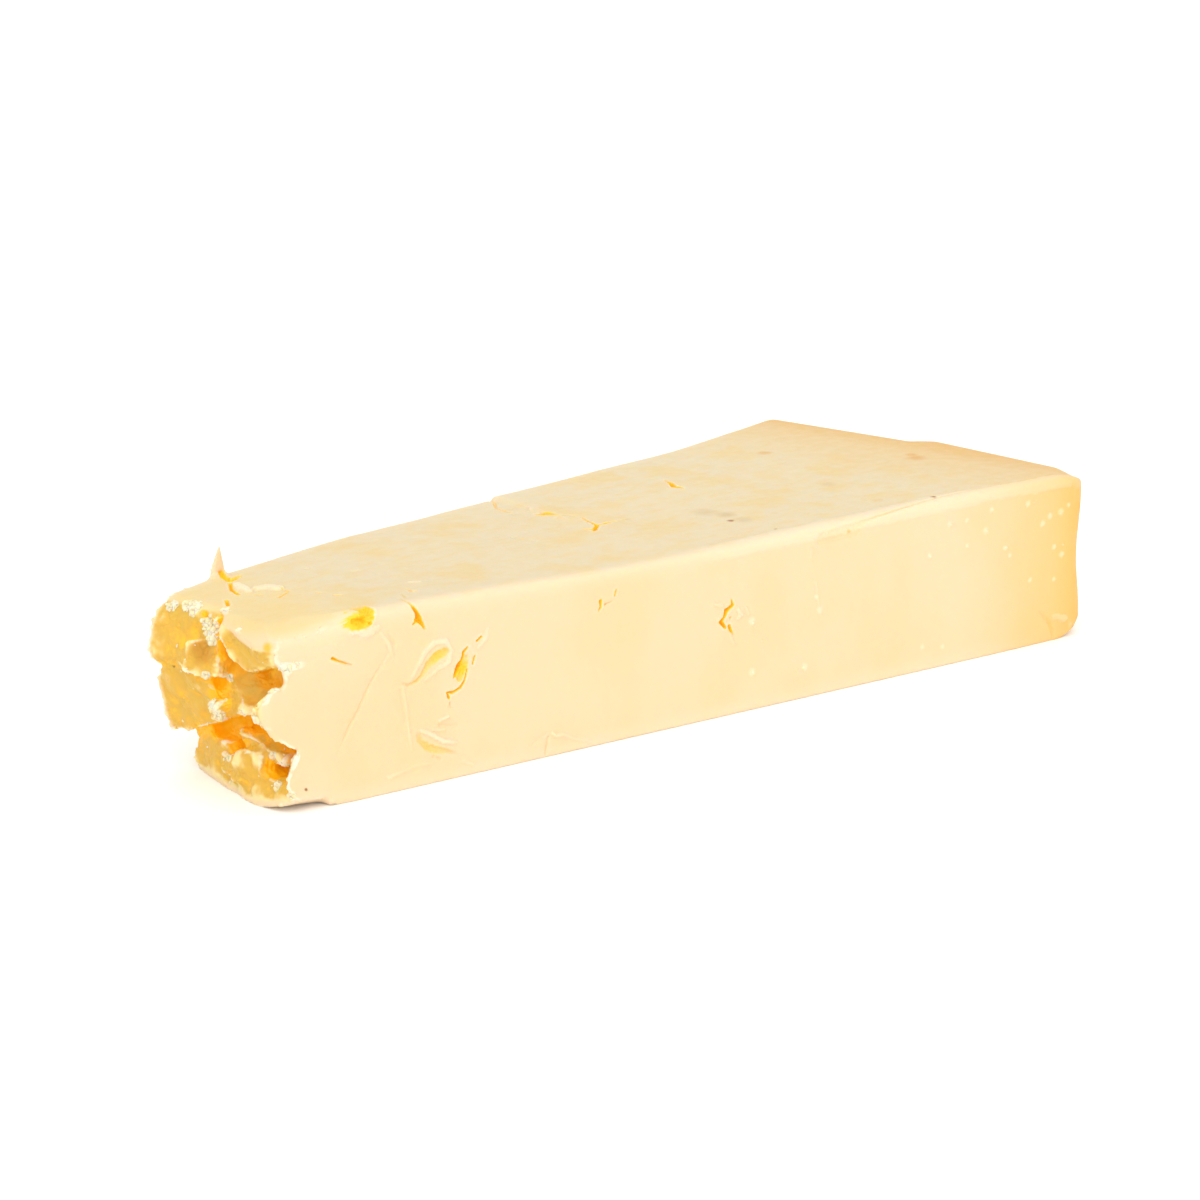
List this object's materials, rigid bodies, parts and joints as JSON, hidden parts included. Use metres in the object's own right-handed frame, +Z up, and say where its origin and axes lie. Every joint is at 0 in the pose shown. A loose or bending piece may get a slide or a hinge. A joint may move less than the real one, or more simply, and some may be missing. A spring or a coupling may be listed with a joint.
{
  "type": "cheddar block",
  "caption": "Wedge-shaped block of mature cheddar with two knife-cut sides, a broad rind end and a narrow end broken off by hand, with crags of curd.",
  "frame": {"origin": "under the middle of the block, on the face that it rests on", "axes": "+X along the block from the broken end to the rind end, +Y across it to the far cut side, +Z up"},
  "size_m": [0.2134, 0.0872, 0.0434],
  "materials": {
    "cheddar": "satin, slightly waxy and translucent"
  },
  "bodies": {
    "root": {"cheddar_wedge": "cheddar"}
  },
  "joints": []
}
